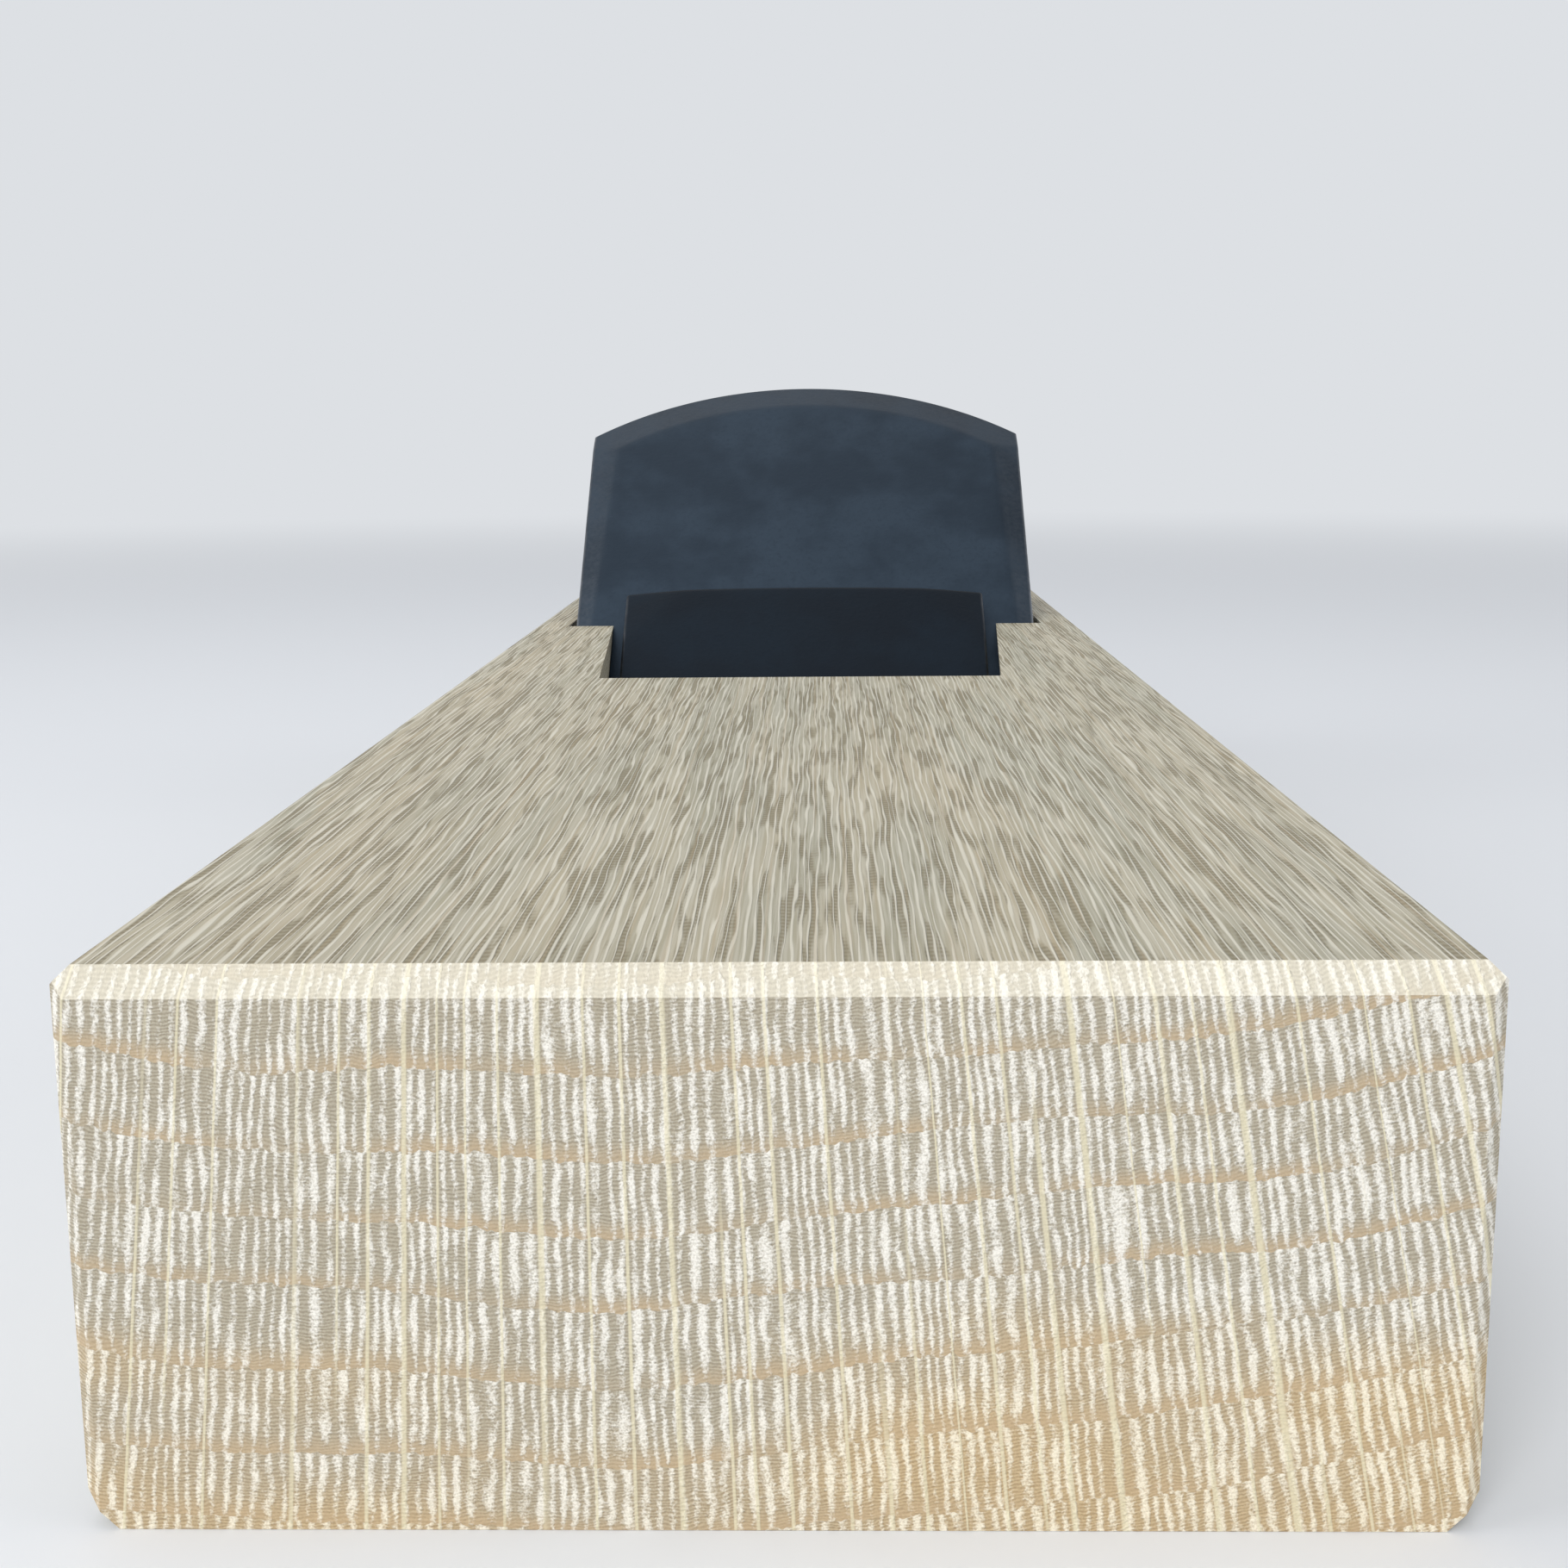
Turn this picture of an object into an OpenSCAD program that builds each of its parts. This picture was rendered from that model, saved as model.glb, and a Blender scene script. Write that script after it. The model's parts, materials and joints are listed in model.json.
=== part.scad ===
// Japanese hand plane of the size with a 70 mm blade: an oak body, a laminated blade
// wedged on its bed, a chipbreaker laid on the blade, and the steel pin that holds it.
// Units are millimetres. The sole lies on z = 0 and the toe end looks toward -Y.

/* [Body] */
// length of the oak body, from the toe end to the heel end
body_l = 275; // [250:1:320]
// width of the oak body
body_w = 82; // [78:0.5:96]
// height of the oak body above its sole
body_h = 34; // [31:0.5:40]
// chamfer on the top arris of the toe end
toe_chamfer = 1.6; // [0.5:0.1:4]
// chamfer on the top arris of the heel end, where a mallet frees the blade
heel_chamfer = 4.5; // [1:0.1:8]
// chamfer along the two long top arrises
top_chamfer = 1; // [0.3:0.1:3]
// chamfer along the two long bottom arrises
sole_chamfer = 2.1; // [0.3:0.1:4]
// chamfer on the four upright arrises
corner_chamfer = 1; // [0.3:0.1:3]

/* [Bed and mouth] */
// rise of the bed for each millimetre of run, the makers' eight parts in ten
bed_slope = 0.8; // [0.7:0.01:0.95]
// from the toe end to the front lip of the mouth
mouth_y = 151.2; // [130:0.1:185]
// width of the mouth in the sole
mouth_w = 57.5; // [45:0.1:60]
// gap in the sole between the front lip and the blade's flat face
mouth_gap = 0.8; // [0.3:0.1:3]
// height at which the slot for the blade reaches its full width
slot_foot_h = 4; // [3:0.1:4.4]
// play between the blade's edge and each end of the mouth
mouth_play = 0.5; // [0.3:0.05:1]
// play beside the blade in each groove
slot_play = 0.5; // [0.2:0.05:1.5]
// play between the blade's flat face and the front face of the grooves
groove_play = 0.2; // [0.12:0.01:0.6]
// play between the blade's back and the bed
bed_play = 0.08; // [0.04:0.01:0.3]

/* [Chip well] */
// from the toe end to the front edge of the well in the top
well_y = 129.2; // [120:0.1:142]
// width of the well between the cheeks at the blade
well_w = 57.5; // [56:0.1:60]
// width of the well at its front edge in the top
well_front_w = 48; // [40:0.1:56]
// height of the steep throat wall above the sole
throat_h = 6; // [3:0.1:10]
// how far the throat wall leans back over its height
throat_run = 1.7; // [0.5:0.1:4]

/* [Blade] */
// length of the blade along its flat face
blade_l = 108.2; // [95:0.1:120]
// width of the blade across its head
blade_w = 70; // [67:0.1:72]
// width of the blade at its shoulders near the edge
shoulder_w = 68.4; // [66:0.1:70]
// how far up from the edge the clipped corners reach
clip_l = 17; // [16:0.1:24]
// thickness of the blade at the head
head_t = 9.8; // [8:0.1:12]
// thickness that the wedge would have at the cutting edge
edge_t = 6.5; // [5:0.1:7.5]
// radius of the arched head
arch_r = 57; // [50:0.5:90]
// angle of the sharpened bevel
bevel_a = 28; // [25:0.5:32]
// how high the cutting edge rests above the sole
edge_lift = 1; // [0.3:0.1:2]
// width of the chamfer round the head
head_bevel_w = 7; // [3:0.1:10]
// depth of the chamfer round the head
head_bevel_d = 2; // [0.5:0.1:3]
// width of the long chamfers at the head
side_bevel_w = 5.4; // [2:0.1:8]
// width to which the long chamfers fade near the edge
side_bevel_end_w = 1.2; // [0.5:0.1:3]
// depth of the long chamfers at the head
side_bevel_d = 1.2; // [0.4:0.1:2]
// thickness of the hard steel layer
steel_t = 2.2; // [1.2:0.1:3]
// how far up the flat face the steel layer reaches
steel_l = 62; // [50:0.5:75]
// half the width of the ground hollow in the flat face
hollow_r = 26; // [18:0.5:27]
// depth of the ground hollow
hollow_d = 0.35; // [0.2:0.05:0.8]
// flat land between the cutting edge and the hollow
hollow_land = 4; // [2:0.5:8]

/* [Chipbreaker] */
// width of the chipbreaker
chip_w = 53.3; // [45:0.1:54]
// length of the chipbreaker
chip_l = 54; // [48:0.1:70]
// thickness of the chipbreaker
chip_t = 3.6; // [2.8:0.1:4.5]
// set-back of the chipbreaker's tip from the cutting edge
chip_set = 1.2; // [0.5:0.1:3]
// play between the chipbreaker's bearing edges and the blade
chip_play = 0.06; // [0.04:0.01:0.2]
// how far the bent ears drop to reach the blade
ear_drop = 0.8; // [0.4:0.05:1.4]
// leg of each bent ear along the top edge
ear_w = 9; // [6:0.5:14]
// leg of each bent ear along the side
ear_l = 12; // [8:0.5:16]
// height of the steep micro bevel at the tip
tip_h = 0.45; // [0.2:0.05:0.8]
// angle of the micro bevel
tip_a = 60; // [50:1:75]
// angle of the chipbreaker's main bevel
chip_bevel_a = 26; // [20:1:40]
// clipped corner at each end of the tip
chip_clip = 2; // [0.5:0.1:4]
// radius of the slight crown of the top edge
chip_crown_r = 580; // [200:10:1000]
// bevel on the front arris of the top edge
chip_top_bevel = 0.9; // [0.3:0.1:1.5]
// thickness of the chipbreaker's steel layer
chip_steel_t = 1.1; // [0.6:0.1:1.6]
// how far up the chipbreaker's steel layer reaches
chip_steel_l = 34; // [20:0.5:45]

/* [Pin] */
// diameter of the pin
pin_d = 6; // [4:0.1:8]
// depth of the pin's axis below the top of the body
pin_drop = 11; // [9:0.1:14]
// play between the pin and the chipbreaker
pin_play = 0.2; // [0.12:0.01:0.6]
// radial play of the pin in its holes
pin_fit = 0.03; // [0.02:0.01:0.08]
// how far each end of the pin lies below the cheek's face
pin_inset = 0.4; // [0.1:0.1:2]

/* [Hidden] */
$fn = 96;
over = 2;
rings = 5;
toe = -body_l / 2;
bed_a = atan(bed_slope);
wedge_a = atan((head_t - edge_t) / blade_l);
face_a = bed_a + wedge_a;
// where the blade's flat face meets the sole and where its edge rests
face_y = toe + mouth_y + mouth_gap;
edge_y = face_y + edge_lift / tan(face_a);
// a point of the blade's back, and the foot of the bed under it
back_y = edge_y + edge_t * sin(face_a);
back_z = edge_lift - edge_t * cos(face_a);
bed_foot = back_y + bed_play * sin(bed_a) - (back_z - bed_play * cos(bed_a)) / tan(bed_a);
// heel of the bevel, measured up the flat face and into the blade
heel_u = edge_t / (tan(bevel_a) - tan(wedge_a));
heel_t = heel_u * tan(bevel_a);
edge_w = mouth_w - 2 * mouth_play;
slot_w = blade_w + 2 * slot_play;
// distance of the well's front edge from the flat face, and the flare of the cheeks
well_n = (face_y + body_h / tan(face_a) - toe - well_y) * sin(face_a);
flare = (well_w - well_front_w) / 2 / well_n;
// lean of the chipbreaker over its bent ears, and the angle of their bend
chip_a = asin(ear_drop / chip_l);
ear_h = ear_w * ear_l / sqrt(ear_w * ear_w + ear_l * ear_l);
ear_a = asin(ear_drop / ear_h);
ear_dir = atan2(-ear_l, ear_w);
tip_u = tip_h / tan(tip_a);
chip_heel_u = tip_u + (chip_t - tip_h) / tan(chip_bevel_a);
// the pin's axis lies in front of the chipbreaker's face
pin_z = body_h - pin_drop;
lean = face_a + chip_a;
tip_y = edge_y + chip_set * cos(face_a) - chip_play * sin(face_a);
tip_z = edge_lift + chip_set * sin(face_a) + chip_play * cos(face_a);
pin_off = chip_t + pin_play + pin_d / 2;
pin_y = tip_y + ((pin_z - tip_z) * cos(lean) - pin_off) / sin(lean);

// a profile drawn in (y, z) and run across the width
module across(w) {
    rotate([90, 0, 90])
        linear_extrude(height = w, center = true) children();
}

// the blade's own axes: x across, y up the flat face, z out of the flat face
module on_face() {
    translate([0, edge_y, edge_lift]) rotate([face_a, 0, 0]) children();
}

// the chipbreaker's own axes, with its tip line at y = 0
module on_chip() {
    on_face() translate([0, chip_set, chip_play]) rotate([chip_a, 0, 0]) children();
}

function bed_line(z) = bed_foot + z / tan(bed_a);
function groove_line(z) = face_y - groove_play / sin(face_a) + z / tan(face_a);

// the planed block with its chamfered arrises
module block() {
    w = body_w / 2;
    c = top_chamfer;
    s = sole_chamfer;
    k = corner_chamfer;
    h = -toe;
    intersection() {
        rotate([90, 0, 0])
            linear_extrude(height = body_l, center = true)
            polygon([[-w + s, 0], [w - s, 0], [w, s], [w, body_h - c], [w - c, body_h],
                [-w + c, body_h], [-w, body_h - c], [-w, s]]);
        across(body_w)
            polygon([[toe, 0], [h, 0], [h, body_h - heel_chamfer], [h - heel_chamfer, body_h],
                [toe + toe_chamfer, body_h], [toe, body_h - toe_chamfer]]);
        linear_extrude(height = body_h)
            polygon([[-w, toe + k], [-w + k, toe], [w - k, toe], [w, toe + k],
                [w, h - k], [w - k, h], [-w + k, h], [-w, h - k]]);
    }
}

// the slanted slot that takes the blade: bed behind, grooves at both sides
module blade_slot() {
    m = mouth_w / 2;
    s = slot_w / 2;
    top = body_h + over;
    intersection() {
        across(slot_w)
            polygon([[groove_line(-over), -over], [bed_line(-over), -over],
                [bed_line(top), top], [groove_line(top), top]]);
        translate([0, toe, 0]) rotate([90, 0, 180])
            linear_extrude(height = body_l)
            polygon([[-m, -over], [m, -over], [m, 0], [s, slot_foot_h], [s, top],
                [-s, top], [-s, slot_foot_h], [-m, 0]]);
    }
}

// the open well in front of the blade: throat, sloping front wall and flared cheeks
module chip_well() {
    far = well_n + 12;
    top = body_h + over;
    lip = toe + mouth_y;
    intersection() {
        across(slot_w)
            polygon([[lip, -over], [groove_line(0) + 1, -over], [groove_line(0) + 1, 0],
                [groove_line(top) + 1, top], [toe + well_y, top], [toe + well_y, body_h],
                [lip - throat_run, throat_h], [lip, 0]]);
        on_face() translate([0, -30, 0]) rotate([-90, 0, 0])
            linear_extrude(height = blade_l + 30)
            polygon([[-well_w / 2 - flare * over, over], [well_w / 2 + flare * over, over],
                [well_w / 2 - flare * far, -far], [-well_w / 2 + flare * far, -far]]);
    }
}

module dai() {
    color([0.80, 0.74, 0.62])
    difference() {
        block();
        blade_slot();
        chip_well();
        translate([0, pin_y, pin_z]) rotate([0, 90, 0])
            cylinder(h = body_w + over, r = pin_d / 2 + pin_fit, center = true);
    }
}

// everything outside the arched head, chamfered toward the flat face
module head_cutter() {
    c = blade_l - arch_r;
    difference() {
        translate([-blade_w, c, -head_t - over]) cube([2 * blade_w, arch_r + over, head_t + 2 * over]);
        translate([0, c, 0]) rotate_extrude($fn = 160)
            polygon([[0, -head_t - 2 * over], [arch_r, -head_t - 2 * over], [arch_r, -head_bevel_d],
                [arch_r - head_bevel_w, 0], [arch_r - head_bevel_w, 3 * over], [0, 3 * over]]);
    }
}

// the long chamfer of the +X side, fading toward the edge
module side_cutter() {
    foot = shoulder_w / 2 - side_bevel_end_w;
    head = blade_w / 2 - side_bevel_w;
    turn = atan((foot - head) / (blade_l - clip_l));
    translate([head, blade_l, 0]) rotate([0, 0, turn])
        rotate([0, atan(side_bevel_d / side_bevel_w), 0])
        translate([0, -2 * blade_l, 0]) cube([20, 3 * blade_l, 10]);
}

// the whole blade before it is divided into its two metals
module blade_body() {
    e = edge_w / 2;
    s = shoulder_w / 2;
    w = blade_w / 2;
    difference() {
        intersection() {
            across(blade_w + over)
                polygon([[0, 0], [blade_l, 0], [blade_l, -head_t], [heel_u, -heel_t]]);
            translate([0, 0, -head_t - over])
                linear_extrude(height = head_t + 2 * over)
                polygon([[-e, 0], [e, 0], [s, clip_l], [w, blade_l], [-w, blade_l], [-s, clip_l]]);
        }
        head_cutter();
        side_cutter();
        mirror([1, 0, 0]) side_cutter();
    }
}

// the slab of hard steel, with a slanted upper end
module steel_slab() {
    across(blade_w + 2 * over)
        polygon([[-over, over], [steel_l + over, over], [steel_l - steel_t, -steel_t],
            [-over, -steel_t]]);
}

// a point of the hollow's section, a shallow bowl that is deepest at its middle
function hollow_point(s) = [hollow_r * s, -hollow_d * (1 - s * s)];

module blade_iron() {
    color([0.22, 0.26, 0.31])
    on_face() difference() {
        blade_body();
        steel_slab();
    }
}

module blade_steel() {
    color([0.62, 0.66, 0.70])
    on_face() difference() {
        intersection() {
            blade_body();
            steel_slab();
        }
        translate([0, hollow_land + hollow_r, 0]) rotate_extrude()
            polygon([[0, over], for (i = [0 : rings]) hollow_point(i / rings), [hollow_r, over]]);
    }
}

// the flat plate of the chipbreaker before its ears are bent
module chip_plate() {
    w = chip_w / 2;
    b = chip_top_bevel;
    intersection() {
        across(chip_w + over)
            polygon([[0, 0], [chip_l + over, 0], [chip_l + over, chip_t - b - over],
                [chip_l - b, chip_t], [chip_heel_u, chip_t], [tip_u, tip_h]]);
        linear_extrude(height = chip_t)
            polygon([[-w + chip_clip, 0], [w - chip_clip, 0], [w, chip_clip], [w, chip_l],
                [-w, chip_l], [-w, chip_clip]]);
        translate([0, chip_l - chip_crown_r, 0])
            cylinder(h = chip_t, r = chip_crown_r, $fn = 360);
    }
}

// the corner of the plate that is bent down, on the +X side
module ear_zone() {
    w = chip_w / 2;
    translate([0, 0, -over])
        linear_extrude(height = chip_t + 2 * over)
        polygon([[w - ear_w, chip_l], [w, chip_l - ear_l], [w + over, chip_l - ear_l],
            [w + over, chip_l + over], [w - ear_w, chip_l + over]]);
}

module ear() {
    translate([chip_w / 2 - ear_w, chip_l, chip_t])
        rotate([0, 0, ear_dir]) rotate([-ear_a, 0, 0]) rotate([0, 0, -ear_dir])
        translate([ear_w - chip_w / 2, -chip_l, -chip_t])
        intersection() {
            chip_plate();
            ear_zone();
        }
}

module chip_body() {
    difference() {
        chip_plate();
        ear_zone();
        mirror([1, 0, 0]) ear_zone();
    }
    ear();
    mirror([1, 0, 0]) ear();
}

module chip_slab() {
    across(chip_w + 2 * over)
        polygon([[-over, -over], [chip_steel_l - chip_steel_t, -over],
            [chip_steel_l - chip_steel_t, 0], [chip_steel_l, chip_steel_t], [-over, chip_steel_t]]);
}

module chipbreaker_iron() {
    color([0.16, 0.19, 0.23])
    on_chip() difference() {
        chip_body();
        chip_slab();
    }
}

module chipbreaker_steel() {
    color([0.55, 0.58, 0.62])
    on_chip() intersection() {
        chip_body();
        chip_slab();
    }
}

module pin() {
    color([0.50, 0.52, 0.55])
    translate([0, pin_y, pin_z]) rotate([0, 90, 0])
        cylinder(h = body_w - 2 * pin_inset, r = pin_d / 2, center = true);
}

dai();
blade_iron();
blade_steel();
chipbreaker_iron();
chipbreaker_steel();
pin();
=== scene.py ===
# %% [markdown]
# # A Japanese hand plane
#
# A block of pale oak holds a short, thick blade on a slanted bed. A chipbreaker lies on the
# blade, and a steel pin across the well keeps it there. The plane is pulled, not pushed.
# The engineering model gives every size; this script gives every surface its finish.

# %% Load the frame
import json
import math
from types import SimpleNamespace

import bmesh
import bpy
import numpy as np
from mathutils import Matrix, Vector

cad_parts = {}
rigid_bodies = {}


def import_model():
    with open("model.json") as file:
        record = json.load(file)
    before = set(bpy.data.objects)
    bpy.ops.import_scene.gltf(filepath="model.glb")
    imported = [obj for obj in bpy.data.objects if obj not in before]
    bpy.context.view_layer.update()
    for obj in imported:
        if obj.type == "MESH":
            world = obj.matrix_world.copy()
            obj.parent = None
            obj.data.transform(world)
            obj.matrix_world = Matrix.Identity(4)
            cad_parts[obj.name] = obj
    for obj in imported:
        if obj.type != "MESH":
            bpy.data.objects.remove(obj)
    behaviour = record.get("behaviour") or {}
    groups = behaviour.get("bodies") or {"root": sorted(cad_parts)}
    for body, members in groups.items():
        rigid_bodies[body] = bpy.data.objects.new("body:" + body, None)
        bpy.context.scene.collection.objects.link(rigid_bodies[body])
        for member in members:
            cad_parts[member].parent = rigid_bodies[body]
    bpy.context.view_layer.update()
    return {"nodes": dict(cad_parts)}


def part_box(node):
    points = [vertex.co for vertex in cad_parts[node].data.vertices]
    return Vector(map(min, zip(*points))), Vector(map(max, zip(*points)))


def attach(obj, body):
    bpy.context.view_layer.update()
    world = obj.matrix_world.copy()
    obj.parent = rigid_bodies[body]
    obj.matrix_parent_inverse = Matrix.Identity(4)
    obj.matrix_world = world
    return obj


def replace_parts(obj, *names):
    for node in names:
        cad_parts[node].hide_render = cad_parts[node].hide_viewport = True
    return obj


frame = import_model()
nodes = frame["nodes"]
print("pieces of the frame:", sorted(nodes))

# %% [markdown]
# ## Sizes
#
# Lengths below are in millimetres, as a maker would say them, and turn into metres only when
# points go into a mesh. The blade has its own axes: across, up its flat face, and out of that
# face. The chipbreaker's axes are the same, leaned forward by a fraction of a degree.

# %% Sizes of the blade and where its edge lies
MM = 0.001
MOUTH_Y, MOUTH_GAP, EDGE_LIFT = 151.2, 0.8, 1.0
BED_SLOPE = 0.8
BLADE_L, BLADE_W, SHOULDER_W, EDGE_W = 108.2, 70.0, 68.4, 56.5
CLIP_L, HEAD_T, EDGE_T, ARCH_R = 17.0, 9.8, 6.5, 57.0
BEVEL = math.tan(math.radians(28))
STEEL_T, STEEL_L = 2.2, 62.0
toe_y = round(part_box("dai")[0][1] / MM, 1)
wedge = math.atan((HEAD_T - EDGE_T) / BLADE_L)
face_angle = math.atan(BED_SLOPE) + wedge
edge_y = toe_y + MOUTH_Y + MOUTH_GAP + EDGE_LIFT / math.tan(face_angle)
print("flat face at", round(math.degrees(face_angle), 2), "degrees, edge at y =", round(edge_y, 2))

# %% Axes of the blade and of the chipbreaker
CHIP_L, CHIP_W, CHIP_T, EAR_DROP = 54.0, 53.3, 3.6, 0.8
CHIP_SET, CHIP_PLAY = 1.2, 0.06
ACROSS = np.array([1.0, 0.0, 0.0])
up_face = np.array([0.0, math.cos(face_angle), math.sin(face_angle)])
off_face = np.array([0.0, -math.sin(face_angle), math.cos(face_angle)])
edge_point = np.array([0.0, edge_y, EDGE_LIFT])
tip_point = edge_point + CHIP_SET * up_face + CHIP_PLAY * off_face


def axes_at(origin, lean):
    """Origin, up and out of a plate that leans forward from the blade's flat face by an angle."""
    along = up_face * math.cos(lean) + off_face * math.sin(lean)
    out = off_face * math.cos(lean) - up_face * math.sin(lean)
    return origin, along, out


def placed(axes, x, u, n):
    """Points of a plate: origin + x across + u up the face + n out of it, in metres."""
    origin, along, out = axes
    local = x[..., None] * ACROSS + u[..., None] * along + n[..., None] * out
    return (origin + local) * MM


blade_axes = axes_at(edge_point, 0.0)
chip_axes = axes_at(tip_point, math.asin(EAR_DROP / CHIP_L))
print("chipbreaker's tip at y =", round(tip_point[1], 2), "and z =", round(tip_point[2], 2))

# %% [markdown]
# ## Closed skins
#
# A forged plate is thick in the middle and rounded at its rim, so each plate is two sheets
# over one grid, an upper and a lower, with a wall round the border. Where the sheets meet in a
# line, as at a cutting edge, the doubled points are welded.

# %% Make a mesh from arrays
def mesh_piece(name, points, quads, marks=None, crease=28.0):
    """A smooth-shaded object from points and quads, welded, with sharp edges over crease degrees."""
    mesh = bpy.data.meshes.new(name)
    mesh.from_pydata(points.tolist(), [], quads.tolist())
    for mark_name, values in (marks or {}).items():
        layer = mesh.attributes.new(mark_name, "FLOAT", "POINT")
        layer.data.foreach_set("value", np.asarray(values, np.float32))
    work = bmesh.new()
    work.from_mesh(mesh)
    bmesh.ops.remove_doubles(work, verts=work.verts, dist=2e-6)
    bmesh.ops.dissolve_degenerate(work, edges=work.edges, dist=1e-6)
    work.to_mesh(mesh)
    work.free()
    mesh.shade_smooth()
    mesh.set_sharp_from_angle(angle=math.radians(crease))
    piece = bpy.data.objects.new(name, mesh)
    bpy.context.scene.collection.objects.link(piece)
    print(name, "has", len(mesh.polygons), "faces")
    return piece


def grid_quads(at):
    """Quads over a grid of point numbers: each point, the next in its row, and the two above."""
    return np.stack([at[:-1, :-1], at[:-1, 1:], at[1:, 1:], at[1:, :-1]], -1).reshape(-1, 4)


# %% Close two sheets into a skin
WALL_STEPS = np.array([0.0, 0.08, 0.5, 0.92, 1.0])
SHUT_GAP = 0.005


def shell(name, upper, lower, rim, ground, filed_and_highlight):
    """A closed skin between two (rows, columns, 3) sheets. The wall is the straight mix
    (1 - f) * upper + f * lower for each f in WALL_STEPS. rim, ground and filed_and_highlight are
    pairs of marks, one array for each sheet: millimetres from the rim, bright ground metal, and the
    chamfers, whose lighter tone is partly filed metal and partly a painted highlight.
    Sheets nearer to each other than SHUT_GAP count as meeting."""
    at = np.arange(upper.shape[0] * upper.shape[1]).reshape(upper.shape[:2])
    border = np.concatenate([at[0], at[1:, -1], at[-1, -2::-1], at[-2:0:-1, 0]])
    top, low = upper.reshape(-1, 3)[border], lower.reshape(-1, 3)[border]
    mix = WALL_STEPS[:, None, None]
    wall = (1 - mix) * top + mix * low
    depth = np.linalg.norm(top - low, axis=1) / MM
    from_rim = np.minimum(WALL_STEPS, 1 - WALL_STEPS)[:, None] * depth + rim[0].ravel()[border]
    ring = 2 * at.size + np.arange(from_rim.size).reshape(from_rim.shape)
    around = np.concatenate([ring, ring[:, :1]], axis=1)
    sheet = grid_quads(at)
    points = np.concatenate([upper.reshape(-1, 3), lower.reshape(-1, 3), wall.reshape(-1, 3)])
    faces = np.concatenate([sheet, sheet[:, ::-1] + at.size, grid_quads(around)[:, ::-1]])
    shut = (np.linalg.norm(upper - lower, axis=2) < SHUT_GAP * MM).ravel()

    def finish_mark(pair):
        """One mark on all points. Where the sheets meet, both sheets and the wall share it."""
        first, second = pair[0].ravel(), pair[1].ravel()
        shared = np.where(shut, np.maximum(first, second), 0.0)
        on_wall = np.tile(shared[border], WALL_STEPS.size)
        return np.concatenate([np.maximum(first, shared), np.maximum(second, shared), on_wall])

    marks = {
        "rim": np.concatenate([rim[0].ravel(), rim[1].ravel(), from_rim.ravel()]),
        "ground": finish_mark(ground),
        "filed_and_highlight": finish_mark(filed_and_highlight),
    }
    return mesh_piece(name, points, faces, marks)


# %% Small shaping functions
def soft_ramp(v, soft=0.35):
    """max(0, v), with its corner rounded over about soft millimetres."""
    return 0.5 * (v + np.sqrt(v * v + soft * soft))


def rounding(distance, radius):
    """How far a surface drops at a given distance from an arris that is rounded by radius."""
    inside = np.clip(radius - distance, 0.0, radius)
    return radius - np.sqrt(radius * radius - inside * inside)


def packed_rows(low, high, count, keys):
    """Row heights from low to high, closer together at high, that pass through each key height."""
    even = low + (high - low) * np.sin(np.linspace(0.0, 0.5 * np.pi, count))
    return np.unique(np.concatenate([even, np.array([k for k in keys if low < k < high])]))


# %% [markdown]
# ## The blade
#
# The blade is a wedge forged from two metals: soft iron behind, a thin layer of hard steel in
# front. Its head is an arch, struck by a mallet to set the blade. Wide chamfers lighten the rim
# of the flat face, and the flat face is hollowed near the edge so that little steel has to be
# ground flat. All of it is two heights over one outline, so numpy can say it in a few lines.

# %% Outline of the blade
FAR_OFF = 99.0


def half_width(u):
    """Half the blade's width: narrow at the edge, full at the shoulders, widest at the head."""
    return np.interp(u, [0, CLIP_L, BLADE_L], [EDGE_W / 2, SHOULDER_W / 2, BLADE_W / 2])


def arch_top(x):
    """Height of the arched head: a circle of radius ARCH_R that touches the blade's length."""
    return BLADE_L - ARCH_R + np.sqrt(ARCH_R ** 2 - x ** 2)


def rim_distance(x, u):
    """Distance to the long sides and to the arch, which counts only above its centre."""
    side = half_width(u) - np.abs(x)
    reach = np.hypot(x, u - (BLADE_L - ARCH_R))
    head = np.where(u > BLADE_L - ARCH_R, ARCH_R - reach, FAR_OFF)
    return side, head


# %% Heights of the blade
SIDE_BEVEL_END_W, SIDE_BEVEL_W, SIDE_BEVEL_D = 1.2, 5.4, 1.2
HEAD_BEVEL_W, HEAD_BEVEL_D = 7.0, 2.0
FACE_ROUND, BACK_ROUND = 0.45, 1.0
BACK_HOLLOW, BACK_HOLLOW_HALF, BACK_WAVE = 0.22, 36.0, 0.03


def chamfer_cut(x, u):
    """Depth of the long chamfers and of the head's chamfer, whichever is deeper."""
    side, head = rim_distance(x, u)
    long_w = np.interp(u, [CLIP_L, BLADE_L], [SIDE_BEVEL_END_W, SIDE_BEVEL_W])
    long_cut = soft_ramp(long_w - side) * (SIDE_BEVEL_D / SIDE_BEVEL_W)
    head_cut = soft_ramp(HEAD_BEVEL_W - head) * (HEAD_BEVEL_D / HEAD_BEVEL_W)
    return np.maximum(long_cut, head_cut)


def face_height(x, u):
    """The flat face at 0, less its chamfers and its rounded arrises."""
    side, head = rim_distance(x, u)
    return -chamfer_cut(x, u) - rounding(np.minimum(side, head), FACE_ROUND)


def chamfer_mark(x, u):
    """0 on the flat, 1 on the chamfers: a rise while the cut goes from 0.06 to 0.18 mm.
    It says where the chamfers get a lighter tone, partly filed metal and partly a painted highlight.
    """
    return np.clip((chamfer_cut(x, u) - 0.06) / 0.12, 0, 1)


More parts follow.
